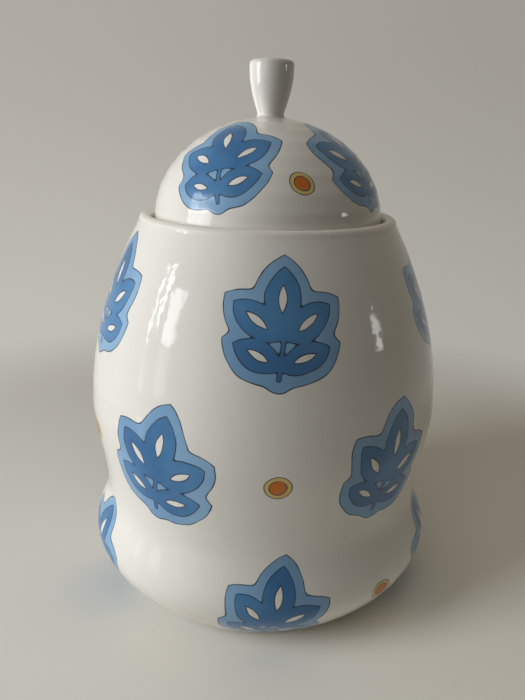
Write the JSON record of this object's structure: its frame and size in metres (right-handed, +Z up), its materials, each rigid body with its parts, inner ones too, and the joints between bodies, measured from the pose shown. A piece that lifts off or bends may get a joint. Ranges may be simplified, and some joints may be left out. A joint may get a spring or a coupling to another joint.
{
  "type": "biscuit jar",
  "caption": "Lidded ceramic jar with a waisted body on a rounded foot and a domed lift-off lid with a goblet-shaped knob.",
  "frame": {"origin": "middle of the foot ring, on the surface that the jar stands on", "axes": "+Z up along the jar's axis; the jar is round, so +X and +Y are free"},
  "size_m": [0.202, 0.202, 0.2999],
  "materials": {
    "printed_glaze": "gloss white glaze with a leaf and berry print under it",
    "plain_glaze": "gloss white glaze"
  },
  "bodies": {
    "jar": {"jar_body": "printed_glaze"},
    "lid": {"lid_dome": "printed_glaze", "lid_knob": "plain_glaze"}
  },
  "joints": [
    {"name": "lid_lift", "type": "slide", "parent": "jar", "child": "lid", "axis": [0, 0, 1], "range_m": [0, 0.2]}
  ]
}
